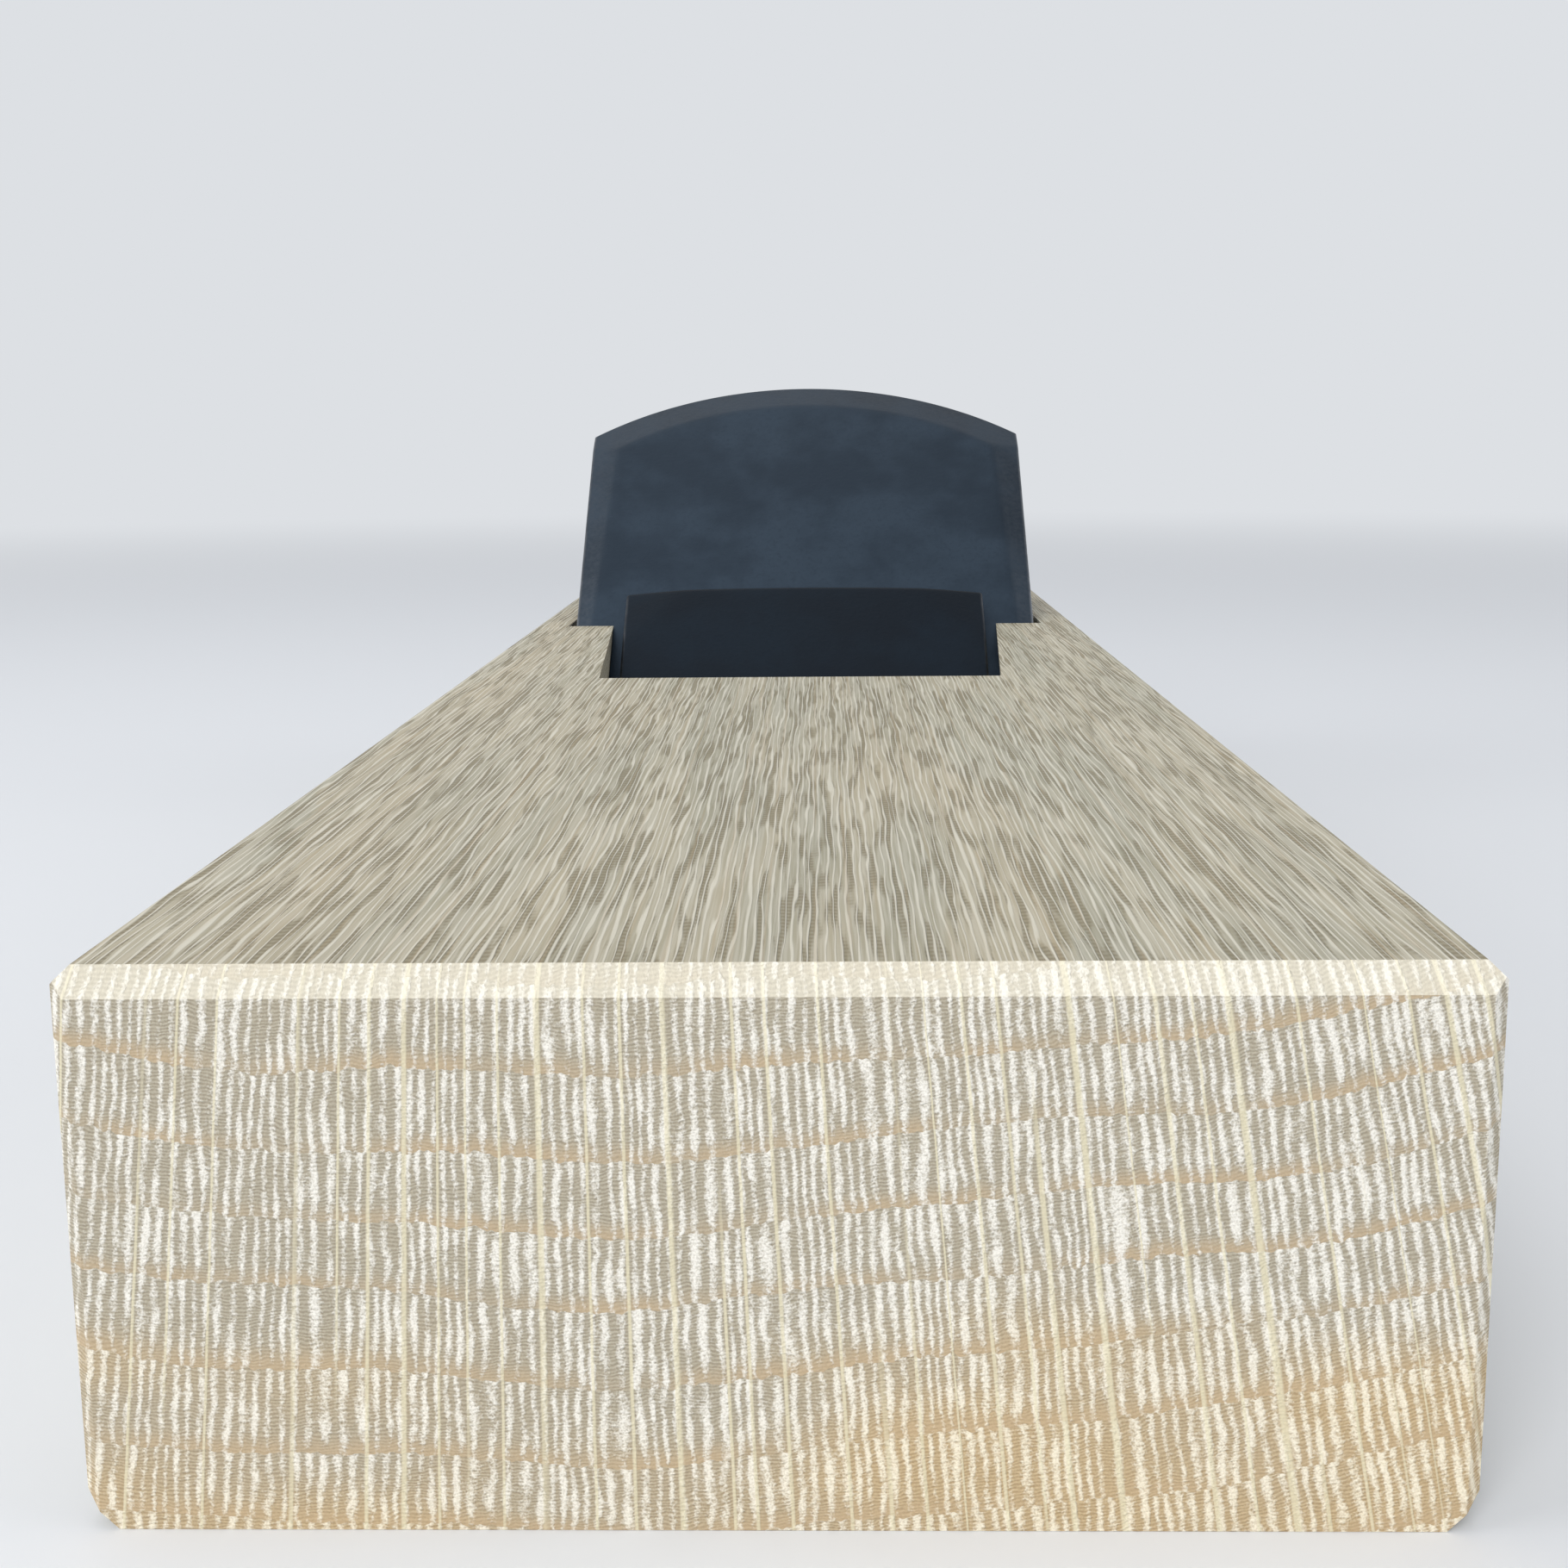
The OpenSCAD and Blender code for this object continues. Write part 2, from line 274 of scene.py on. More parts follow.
def back_height(x, u):
    """The back, EDGE_T thick at the edge and growing with the wedge. Forging left it a little
    hollow across and uneven: long waves of some hundredths of a millimetre, never outward."""
    waves = np.sin(0.9 * u + 0.5 * np.sin(0.31 * x)) * np.sin(0.47 * x + 0.8 * np.sin(0.17 * u))
    bowl = 1 - (x / BACK_HOLLOW_HALF) ** 2
    hollow_in = BACK_HOLLOW * bowl * np.clip((u - 20.0) / 30.0, 0.0, 1.0)
    side, head = rim_distance(x, u)
    drop = rounding(np.minimum(side, head), BACK_ROUND)
    return -(EDGE_T + u * math.tan(wedge)) + BACK_WAVE * (1 + waves) + hollow_in + drop


def weld_line(u):
    """The border of the two metals: STEEL_T under the face, rising to it at STEEL_L."""
    return np.clip(u - STEEL_L, -STEEL_T, None)


# %% Grid over the blade's outline
CORNER_INSET = 0.05
# shares of the half width from -1 to 1, closer together toward the long sides
columns = np.sin(np.linspace(-0.5, 0.5, 97) * np.pi)
corner_u = float(arch_top(BLADE_W / 2 - CORNER_INSET))
heel_u = EDGE_T / (BEVEL - math.tan(wedge))
weld_x = columns * half_width(STEEL_L)
weld_u = STEEL_L + face_height(weld_x, np.full_like(weld_x, STEEL_L))
print("heel of the bevel at", round(heel_u, 2), "mm and corners of the head at", round(corner_u, 2), "mm")


def blade_grid(rows):
    """Grid over the blade's outline. Each row is a straight mix of three lines: the lowest row,
    the weld on the face, which dips on the chamfers, and the arch of the head."""
    x = columns[None, :] * half_width(rows)[:, None]
    low, t = rows[0], rows[:, None]
    below = low + (t - low) / (STEEL_L - low) * (weld_u - low)
    above = weld_u + (t - STEEL_L) / (corner_u - STEEL_L) * (arch_top(x) - weld_u)
    return x, np.where(t <= STEEL_L, below, above)


# %% Iron back of the blade
def blade_iron():
    """Front: the flat face or the weld line. Back: the forged back or the ground bevel."""
    low = STEEL_T / BEVEL
    x, u = blade_grid(packed_rows(low, corner_u, 110, (heel_u, STEEL_L - STEEL_T, STEEL_L)))
    front = np.minimum(face_height(x, u), weld_line(u))
    bevel = -u * BEVEL
    back = np.minimum(np.maximum(back_height(x, u), bevel), front)
    side, head = rim_distance(x, u)
    rim = np.minimum(side, head)
    ground = (bevel > back_height(x, u)).astype(float)
    return shell(
        "blade_iron_forged", placed(blade_axes, x, u, front), placed(blade_axes, x, u, back),
        (rim, rim), (0 * rim, ground), (chamfer_mark(x, u), 0 * rim),
    )


iron_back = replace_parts(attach(blade_iron(), "blade"), "blade_iron")

# %% [markdown]
# The hollow of the steel face is deepest in its middle and ends in a rounded arch, with flat
# land left beside it and above the edge. Only that land meets the board and the chipbreaker.

# %% Steel face of the blade
HOLLOW_D, HOLLOW_HALF_W, HOLLOW_HALF_L, HOLLOW_MID = 0.35, 26.0, 23.0, 27.0
HOLLOW_POWER = 2.6
GROUND_L = 33.0


def hollow(x, u):
    """Depth HOLLOW_D (1 - r^3) inside a rounded arch. r is 0 in the middle and 1 at the arch,
    the HOLLOW_POWER root of the sum of that power of the two shares of the way out."""
    across = np.abs(x) / HOLLOW_HALF_W
    up = np.abs(u - HOLLOW_MID) / HOLLOW_HALF_L
    r = np.clip((across ** HOLLOW_POWER + up ** HOLLOW_POWER) ** (1 / HOLLOW_POWER), 0, 1)
    return HOLLOW_D * (1 - r ** 3)


def blade_steel():
    """Front: the flat face less its hollow. Back: the weld line or the bevel, down to the edge.
    The face is ground bright up to a bowed line about GROUND_L above the edge."""
    rows = np.linspace(0.0, 1.0, 90)
    x = columns[None, :] * half_width(rows * STEEL_L)[:, None]
    end = STEEL_L + face_height(x, np.full_like(x, STEEL_L))
    u = rows[:, None] * end
    front = face_height(x, u) - hollow(x, u)
    back = np.minimum(np.maximum(weld_line(u), -u * BEVEL), front)
    back[-1] = front[-1]
    side, head = rim_distance(x, u)
    ground_up = 1 - np.clip((u - GROUND_L - 3.0 * np.cos(x / 12.0)) / 3.0, 0, 1)
    ground_back = (u * BEVEL <= STEEL_T).astype(float)
    return shell(
        "blade_steel_face", placed(blade_axes, x, u, front), placed(blade_axes, x, u, back),
        (side, side), (ground_up, ground_back), (chamfer_mark(x, u), 0 * u),
    )


steel_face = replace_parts(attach(blade_steel(), "blade"), "blade_steel")

# %% [markdown]
# ## The chipbreaker
#
# The chipbreaker turns the shaving up just behind the edge. It touches the blade only at its
# tip and at its two top corners, which are hammered down into small ears. Its steel layer lies
# on the side that meets the blade. It is the same kind of plate, so it is made the same way.

# %% Outline and bend of the chipbreaker
EAR_W, EAR_L, CHIP_CLIP, CROWN_R = 9.0, 12.0, 2.0, 580.0


def chip_half(v):
    """Half the chipbreaker's width, with the tip's corners clipped."""
    return np.interp(v, [0, CHIP_CLIP], [CHIP_W / 2 - CHIP_CLIP, CHIP_W / 2])


def chip_top(x):
    """The slightly crowned top edge, an arc of radius CROWN_R."""
    return CHIP_L - CROWN_R + np.sqrt(CROWN_R ** 2 - x ** 2)


def ear_bend(x, v):
    """How far the corners are hammered down: the distance past the fold line times its slope."""
    leg = math.hypot(EAR_W, EAR_L)
    past = ((np.abs(x) - (CHIP_W / 2 - EAR_W)) * EAR_L + (v - CHIP_L) * EAR_W) / leg
    slope = EAR_DROP / (EAR_W * EAR_L / leg)
    return soft_ramp(past, 1.2) * slope


def chip_grid(low, high, count, keys):
    """Grid over the chipbreaker's outline, its last row bowed to the crown."""
    rows = packed_rows(low, high, count, keys)
    x = columns[None, :] * chip_half(rows)[:, None]
    return x, rows[:, None] + (chip_top(x) - CHIP_L) * (rows[:, None] / CHIP_L) ** 4


# %% Heights of the chipbreaker
CHIP_STEEL_T, CHIP_STEEL_L = 1.1, 34.0
TIP_H, TIP_RUN, CHIP_TOP_BEVEL = 0.45, 0.26, 0.9
TIP_BEVEL, CHIP_BEVEL = math.tan(math.radians(60)), math.tan(math.radians(26))


def chip_front(x, v):
    """A micro bevel and a main bevel at the tip, the flat plate, and a small bevel at the top.
    The arrises are rounded from 8 mm above the tip. Also gives the distance to the rim."""
    rise = np.minimum(v * TIP_BEVEL, TIP_H + (v - TIP_RUN) * CHIP_BEVEL)
    plate = np.minimum(rise, CHIP_T)
    to_top = chip_top(x) - v
    rim = np.minimum(chip_half(v) - np.abs(x), to_top)
    cut = np.where(v > 8.0, rounding(rim, 0.4), 0.0) + soft_ramp(CHIP_TOP_BEVEL - to_top, 0.2)
    return plate - cut - ear_bend(x, v), rim


def steel_under(v):
    """Height of the chipbreaker's steel layer: full to near its end, then down to nothing."""
    return np.clip(CHIP_STEEL_L - v, 0.0, CHIP_STEEL_T)


# %% Iron plate and steel layer of the chipbreaker
NEAR_TIP = 14.0


def chip_iron():
    """The plate above its steel layer, from the bevel to the crowned top."""
    low = TIP_RUN + (CHIP_STEEL_T - TIP_H) / CHIP_BEVEL
    heel = TIP_RUN + (CHIP_T - TIP_H) / CHIP_BEVEL
    x, v = chip_grid(low, CHIP_L, 90, (heel, CHIP_STEEL_L - CHIP_STEEL_T, CHIP_STEEL_L))
    front, rim = chip_front(x, v)
    arris = rounding(rim, 0.25) * (v > CHIP_STEEL_L)
    back = np.minimum(steel_under(v) - ear_bend(x, v) + arris, front)
    ground = (v < heel + 0.4).astype(float)
    return shell(
        "chipbreaker_iron_plate", placed(chip_axes, x, v, front), placed(chip_axes, x, v, back),
        (rim, rim), (ground, 0 * rim), (0 * rim, 0 * rim),
    )


def chip_steel():
    """The layer between the blade side and the plate, ground to a line at the tip."""
    x, v = chip_grid(0.0, CHIP_STEEL_L, 60, (TIP_RUN, 1.6))
    front, rim = chip_front(x, v)
    front = np.minimum(front, steel_under(v) - ear_bend(x, v))
    back = np.minimum(-ear_bend(x, v), front)
    near_tip = (v < NEAR_TIP).astype(float)
    return shell(
        "chipbreaker_steel_layer", placed(chip_axes, x, v, front), placed(chip_axes, x, v, back),
        (rim, rim), (np.ones_like(v), near_tip), (0 * v, 0 * v),
    )


chip_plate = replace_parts(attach(chip_iron(), "chipbreaker"), "chipbreaker_iron")
chip_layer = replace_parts(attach(chip_steel(), "chipbreaker"), "chipbreaker_steel")

# %% [markdown]
# ## The pin
#
# The pin is a cut length of drawn rod, driven through both cheeks. A lathe shape fits it: one
# profile from end to end, turned round its axis.

# %% Turn the pin
PIN_CHAMFER = 0.5
pin_low, pin_high = (np.array(corner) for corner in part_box("pin"))
pin_centre = 0.5 * (pin_low + pin_high)
pin_half = 0.5 * (pin_high[0] - pin_low[0])
pin_r = 0.5 * (pin_high[1] - pin_low[1])


def turned_pin():
    """Profile of (reach, radius) pairs, a faint dome and a chamfer at each end, revolved:
    points (reach, radius cos a, radius sin a)."""
    chamfer = PIN_CHAMFER * MM
    reach = pin_half - np.array([0.0, 0.02, 0.08, 0.3, 0.8]) * chamfer
    radius = np.array([0.0, 0.35, 0.7, 1.0, 1.0]) * pin_r
    radius[3] -= 0.6 * chamfer
    reach = np.concatenate([-reach, reach[::-1]])
    radius = np.concatenate([radius, radius[::-1]])
    turn = np.linspace(0, 2 * np.pi, 49)[None, :]
    x = np.repeat(reach[:, None], turn.size, axis=1)
    y = radius[:, None] * np.cos(turn)
    z = radius[:, None] * np.sin(turn)
    points = (np.stack([x, y, z], -1) + pin_centre).reshape(-1, 3)
    at = np.arange(x.size).reshape(x.shape)
    return mesh_piece("pin_rod", points, grid_quads(at.T))


pin_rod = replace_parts(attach(turned_pin(), "dai"), "pin")

# %% [markdown]
# ## The oak body
#
# The body's bed, grooves, well and mouth must stay exactly where the engineering model has
# them, so a welded copy of that solid is kept. What planing adds is a hairline of softness on
# the long arrises. A bevel modifier does that, told by edge weights which arrises to soften.

# %% Weld the body and soften its long arrises
ARRIS_W, LONG_ARRIS = 0.28, 4.0


def oak_body():
    """Copy of the solid, its triangles merged into flat faces. Arrises over LONG_ARRIS in length
    that turn by more than 20 degrees get a bevel of ARRIS_W."""
    mesh = nodes["dai"].data.copy()
    mesh.name = "body_oak"
    work = bmesh.new()
    work.from_mesh(mesh)
    bmesh.ops.remove_doubles(work, verts=work.verts, dist=2e-6)
    bmesh.ops.dissolve_limit(work, angle_limit=math.radians(0.4), verts=work.verts, edges=work.edges)
    weight = work.edges.layers.float.new("bevel_weight_edge")
    soft = 0
    for edge in work.edges:
        turned = edge.is_manifold and edge.calc_face_angle(0.0) > math.radians(20)
        if turned and edge.calc_length() > LONG_ARRIS * MM:
            edge[weight] = 1.0
            soft += 1
    work.to_mesh(mesh)
    work.free()
    body = bpy.data.objects.new("body_oak", mesh)
    bpy.context.scene.collection.objects.link(body)
    bevel = body.modifiers.new("softened arrises", "BEVEL")
    bevel.limit_method = "WEIGHT"
    bevel.width = ARRIS_W * MM
    bevel.segments = 3
    bevel.use_clamp_overlap = True
    print("oak body:", len(mesh.polygons), "flat faces,", soft, "softened arrises")
    return body


body_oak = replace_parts(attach(oak_body(), "dai"), "dai")

# %% [markdown]
# ## Patterns as formulas
#
# Each finish is a tree of nodes. A Field is one value of such a tree, and its arithmetic adds
# the nodes for it, so a pattern can be read as a formula. Plain numbers may stand beside fields.

# %% Fields and their arithmetic
class Field:
    """A value that varies over a surface: the socket that gives it, and the tree of that socket."""

    def __init__(self, tree, socket):
        self.tree = tree
        self.socket = socket

    def __add__(self, other):
        return calc("ADD", self, other)

    def __sub__(self, other):
        return calc("SUBTRACT", self, other)

    def __rsub__(self, other):
        return calc("SUBTRACT", other, self)

    def __mul__(self, other):
        return calc("MULTIPLY", self, other)

    def __truediv__(self, other):
        return calc("DIVIDE", self, other)


def plug(socket, value):
    """Puts a field, a number or a colour into a socket."""
    if isinstance(value, Field):
        value.tree.links.new(value.socket, socket)
    else:
        socket.default_value = value


def calc(operation, *values, clamp=False):
    """One Math node on fields and numbers, at least one of them a field."""
    tree = next(value.tree for value in values if isinstance(value, Field))
    node = tree.nodes.new("ShaderNodeMath")
    node.operation = operation
    node.use_clamp = clamp
    for socket, value in zip(node.inputs, values):
        plug(socket, value)
    return Field(tree, node.outputs[0])


# %% Noise, steps and blends
def noise(x, y, z, detail=1.0, roughness=0.5, scale=1.0):
    """Noise from 0 to 1 at a place of three values, the first of them a field."""
    place = x.tree.nodes.new("ShaderNodeCombineXYZ")
    for socket, value in zip(place.inputs, (x, y, z)):
        plug(socket, value)
    node = x.tree.nodes.new("ShaderNodeTexNoise")
    x.tree.links.new(place.outputs[0], node.inputs["Vector"])
    for key, value in (("Scale", scale), ("Detail", detail), ("Roughness", roughness)):
        node.inputs[key].default_value = value
    return Field(x.tree, node.outputs[0])


def step(field, low, high, to_low=0.0, to_high=1.0):
    """A smooth rise from to_low to to_high while a field goes from low to high."""
    node = field.tree.nodes.new("ShaderNodeMapRange")
    node.interpolation_type = "SMOOTHSTEP"
    for socket, value in zip(node.inputs, (field, low, high, to_low, to_high)):
        plug(socket, value)
    return Field(field.tree, node.outputs[0])


def blend(amount, first, second):
    """The colour first where a field is 0, second where it is 1, and a mix between. Sockets 6
    and 7 of the node take colours, and its output 2 gives one."""
    node = amount.tree.nodes.new("ShaderNodeMix")
    node.data_type = "RGBA"
    for place, value in ((0, amount), (6, first), (7, second)):
        plug(node.inputs[place], value)
    return Field(amount.tree, node.outputs[2])


def tone(red, green, blue):
    """A colour written as the eye sees it, from 0 to 255, as the linear values Blender uses."""
    seen = np.array([red, green, blue]) / 255.0
    linear = np.where(seen <= 0.04045, seen / 12.92, ((seen + 0.055) / 1.055) ** 2.4)
    return (*[float(v) for v in linear], 1.0)


# %% Start a finish, find a place in it, and give it relief
def new_finish(name):
    """An empty material, its tree and its Principled shader."""
    finish = bpy.data.materials.new(name)
    finish.use_nodes = True
    tree = finish.node_tree
    return finish, tree, tree.nodes["Principled BSDF"]


def split(tree, socket):
    """The three parts of a vector, as fields."""
    node = tree.nodes.new("ShaderNodeSeparateXYZ")
    tree.links.new(socket, node.inputs[0])
    return [Field(tree, part) for part in node.outputs]


def millimetres(tree):
    """Object coordinates in millimetres: across, along and up the block."""
    where = tree.nodes.new("ShaderNodeTexCoord")
    scaled = tree.nodes.new("ShaderNodeVectorMath")
    scaled.operation = "SCALE"
    scaled.inputs["Scale"].default_value = 1 / MM
    tree.links.new(where.outputs["Object"], scaled.inputs[0])
    return split(tree, scaled.outputs[0])


def relief(shader, height, depth):
    """Bump on a shader, from a height field and a depth in millimetres."""
    node = height.tree.nodes.new("ShaderNodeBump")
    node.inputs["Strength"].default_value = 1.0
    node.inputs["Distance"].default_value = depth * MM
    plug(node.inputs["Height"], height)
    height.tree.links.new(node.outputs[0], shader.inputs["Normal"])


def dress(finish, *pieces):
    """Gives each piece one finish, and no other."""
    for piece in pieces:
        piece.data.materials.clear()
        piece.data.materials.append(finish)
    print(finish.name, "has", len(finish.node_tree.nodes), "nodes")


# %% [markdown]
# ## Oak
#
# Wood is a solid pattern, so it is worked out in the tree's own coordinates: distance from the
# pith, arc round it, and length along the trunk. Then end, top and sides agree at every arris.
# The pith lies far above this block, so the growth rings are shallow bowls on its end. Each ring
# closes with a tan line of late wood, stronger in some years than in others.

# %% Where a point lies in the trunk
PITH_X, PITH_Z, ARC_R = -11.0, 261.0, 244.0
FIRST_RING, RING_W = 233.0, 4.65


def trunk(tree):
    """Place in the block (x, y, z), distance from the pith (far), arc in millimetres at ARC_R
    from it, share of the way through a ring, that ring's number (year), share of late wood,
    and the slow sideways sway of the fibres."""
    x, y, z = millimetres(tree)
    over, under = x - PITH_X, PITH_Z - z
    far = calc("SQRT", over * over + under * under)
    arc = calc("ARCTAN2", over, under) * ARC_R
    drift = noise(x * 0.035, y * 0.008, z * 0.05) - 0.5
    ragged = noise(arc * 1.5, y * 0.09, far * 0.2) - 0.5
    rings = (far + drift * 5.0 + ragged * 0.7 - FIRST_RING) / RING_W
    ring = calc("FRACT", rings)
    year = calc("FLOOR", rings)
    force = noise(arc * 0.11, year * 3.7, y * 0.004, 2.0, 0.6)
    late = step(ring, 0.70, 0.99) * step(force, 0.34, 0.62, 0.22, 1.0)
    sway = noise(arc * 0.40, far * 0.30, y * 0.11 + year * 0.9) - 0.5
    return SimpleNamespace(x=x, y=y, z=z, far=far, arc=arc, ring=ring, year=year, late=late, sway=sway)


def facing(tree):
    """Three shares: of facing along the trunk, of facing sideways, and of being an end's chamfer
    that faces upward."""
    geometry = tree.nodes.new("ShaderNodeNewGeometry")
    across, along, up = split(tree, geometry.outputs["Normal"])
    end = step(calc("ABSOLUTE", along), 0.35, 0.6)
    side = step(calc("ABSOLUTE", across), 0.55, 0.8)
    return end, side, end * step(up, 0.3, 0.6)


# %% [markdown]
# Rays are thin ribbons of pale cells that run outward from the pith. They cut across all the
# rings, most of them fine and a few broad. One cell noise over the arc places them, which keeps
# them clear of each other.

# %% Rays
RAY_GAP = 2.2


def ray_ribbons(tree, wood):
    """1 on a ray: where the distance to the nearest cell border, over a half width that grows
    with the cube of a noise, is small. A second noise lets a ray fade out."""
    cells = tree.nodes.new("ShaderNodeTexVoronoi")
    cells.voronoi_dimensions = "1D"
    cells.feature = "DISTANCE_TO_EDGE"
    cells.inputs["Scale"].default_value = 1.0
    plug(cells.inputs["W"], wood.arc / RAY_GAP + wood.sway * 0.03 + wood.y * 0.002)
    from_ray = Field(tree, cells.outputs["Distance"])
    breadth = noise(wood.arc * 0.75, 0.0, wood.y * 0.01)
    half = calc("POWER", breadth, 3.0) * 0.24 + 0.020
    lasting = step(noise(wood.arc * 0.5, wood.far * 0.012, wood.y * 0.035), 0.40, 0.48)
    return step(from_ray / half, 0.45, 1.35, 1.0, 0.0) * lasting


# %% [markdown]
# On the end, white files of soft cells and open pores stand upright, one about every three
# quarters of a millimetre, with darker fibre between them. Fine ripples cross the dark gaps.
# Toward the sole the wood turns warmer.

# %% End grain
FILE_GAP, RIPPLES = 0.76, 28.0
GREY_GAP = tone(158, 148, 128), tone(190, 181, 161)
TAN_GAP = tone(179, 153, 115), tone(209, 186, 147)
LATE_TAN, RAY_CREAM, LIT_END = tone(200, 174, 138), tone(236, 227, 195), tone(255, 249, 230)
WHITE_FILE = tone(250, 246, 236), tone(252, 242, 218)


def end_grain(wood, rays, slope_up):
    """Colour and height of the end. White files stand where a sum is high: a sine of the arc,
    made wider and narrower, broken into dots and specks by noise, and lowered in late wood."""
    x, y, z, far, arc, sway = wood.x, wood.y, wood.z, wood.far, wood.arc, wood.sway
    shake = noise(arc * 1.3, far * 1.2, y * 0.1) - 0.5
    width = noise(arc * 1.1, far * 0.36, y * 0.05 + wood.year * 1.7) - 0.5
    spread = noise(arc * 0.22, wood.year * 0.35, y * 0.02)
    dots = noise(arc * 4.4, far * 4.4, y * 0.1)
    specks = noise(arc * 8.5, far * 8.5, y * 0.1)
    phase = arc / FILE_GAP + spread * 3.0 + sway * 0.85 + shake * 0.22
    wave = calc("SINE", phase * (2 * math.pi))
    slant = far + arc * 0.12 + sway * 0.9 + shake * 0.35
    ripple = calc("SINE", slant * RIPPLES) * 0.38 + specks * 1.2
    ripple = calc("SUBTRACT", ripple, 0.1, clamp=True)
    files = wave * 0.34 + width * 1.25 - wood.late * 0.34
    files = step(files + dots * 0.95 + specks * 0.35 + ripple * 0.12 + x * 0.0015, 0.43, 1.20)
    warm = noise(x * 0.03, y * 0.01, z * 0.07, 2.0) - z * 0.026 + x * 0.0010
    warm = step(warm, 0.15, 0.54)
    ground = blend(warm, blend(ripple, *GREY_GAP), blend(ripple, *TAN_GAP))
    # painted highlight: on the end's upward-facing chamfer the late wood is faded out
    ground = blend(wood.late * (0.65 - slope_up * 0.45), ground, LATE_TAN)
    white = blend(step(specks, 0.35, 0.6, 0.30, 0.0), blend(warm, *WHITE_FILE), ground)
    colour = blend(files * 0.95, ground, white)
    colour = blend(rays * 0.7, colour, RAY_CREAM)
    # painted highlight: the end's upward-facing chamfer is lightened toward LIT_END, a pale cream
    colour = blend(slope_up * 0.42, colour, LIT_END)
    return colour, files * 0.6 + dots * 1.3 + rays * 0.4 + ripple * 0.25


# %% [markdown]
# Along the trunk the same files are cut lengthwise. They show as pale threads that wind round
# dark, open pores, with a grey-brown fibre under them. On the sides the pores draw out longer
# and gather where a ring begins.

# %% Long grain
THREAD_GAP = 0.54
FIBRE = tone(159, 154, 133), tone(177, 168, 144)
PALE_FIBRE, LATE_BROWN, OPEN_PORE = tone(212, 208, 194), tone(192, 172, 140), tone(120, 109, 82)
PALE_THREAD, RAY_BROWN = tone(230, 225, 209), tone(176, 154, 120)


def long_grain(wood, rays, side):
    """Colour and height of the top and sides. A thread lies where the share of the way through
    THREAD_GAP is near one half, and a pore where a noise that is long in y is high."""
    y, far, arc = wood.y, wood.far, wood.arc
    bend = noise(arc * 0.75, far * 0.45, y * 0.055) - 0.5
    twist = noise(arc * 2.0, far, y * 0.16) - 0.5
    phase = arc / THREAD_GAP + far * 1.3 + bend * 1.9 + twist * 0.45
    phase = phase + side * (far * 1.4 - bend * 1.2)
    from_thread = calc("ABSOLUTE", calc("FRACT", phase) - 0.5)
    half = noise(arc * 1.1, far * 0.8, y * 0.05) * 0.42
    thread = step(from_thread / half, 0.35, 1.0, 1.0, 0.0)
    lens = noise(arc * 1.35 + bend * 1.4, far * 1.2, y * 0.085, 2.0, 0.55)
    side_lens = noise(arc * 1.2, far * 3.4 + bend * 0.5, y * 0.05, 2.0, 0.6)
    side_lens = side_lens + step(wood.ring, 0.0, 0.5, 0.05, -0.05)
    lens = lens * (1.0 - side) + side_lens * side
    pore = step(lens, 0.47, 0.61) * (1.0 - thread * 0.8)
    septa = calc("SINE", y * 7.5 + bend * 9.0) * 0.2 + 0.8
    fibre = noise(arc * 5.0, far * 4.5, y * 0.09, 2.0)
    tint = noise(arc * 0.25, far * 0.4, y * 0.02, 2.0)
    colour = blend(step(tint, 0.35, 0.65), *FIBRE)
    colour = blend(step(fibre, 0.35, 0.65, 0.0, 0.35), colour, PALE_FIBRE)
    colour = blend(wood.late * (side * 0.25 + 0.30), colour, LATE_BROWN)
    colour = blend(pore * septa * 0.82, colour, OPEN_PORE)
    colour = blend(thread * 0.60, colour, PALE_THREAD)
    colour = blend(rays * 0.25, colour, RAY_BROWN)
    return colour, thread * 0.5 - pore * 0.9


# %% [markdown]
# The surface's direction chooses between the two patterns. Planed oak is matt, and its pattern
# is also a relief of a few hundredths of a millimetre, which the low lamps pick out.

# %% Oak finish
def oak():
    """Planed oak without oil: end grain where it faces along the trunk, else long grain."""
    finish, tree, shader = new_finish("planed oak")
    wood = trunk(tree)
    rays = ray_ribbons(tree, wood)
    end, side, slope_up = facing(tree)
    end_colour, end_height = end_grain(wood, rays, slope_up)
    long_colour, long_height = long_grain(wood, rays, side)
    plug(shader.inputs["Base Color"], blend(end, long_colour, end_colour))
    plug(shader.inputs["Roughness"], 0.6)
    plug(shader.inputs["Specular IOR Level"], 0.3)
    relief(shader, long_height * (1.0 - end) + end_height * end, 0.06)
    return finish


dress(oak(), body_oak)

# %% [markdown]
# ## Forged iron and ground steel
#
# The blade and chipbreaker come from the forge with a thin slate-dark scale, satin and a little
# uneven. Its lighter clouds are partly that unevenness and partly a painted sheen. The scale rubs
# off along the arrises, and the bevels are ground bright. The chamfers are a little lighter, partly
# filed metal and partly a painted highlight. The rim, ground and chamfer marks made with the
# meshes say where.

# %% Forged finish
def mark(tree, name):
    """A mark that was stored on the mesh."""
    node = tree.nodes.new("ShaderNodeAttribute")
    node.attribute_name = name
    return Field(tree, node.outputs["Fac"])


def between(first, second, share):
    """A fixed colour, a share of the way from first to second."""
    return tuple((1 - share) * a + share * b for a, b in zip(first, second))


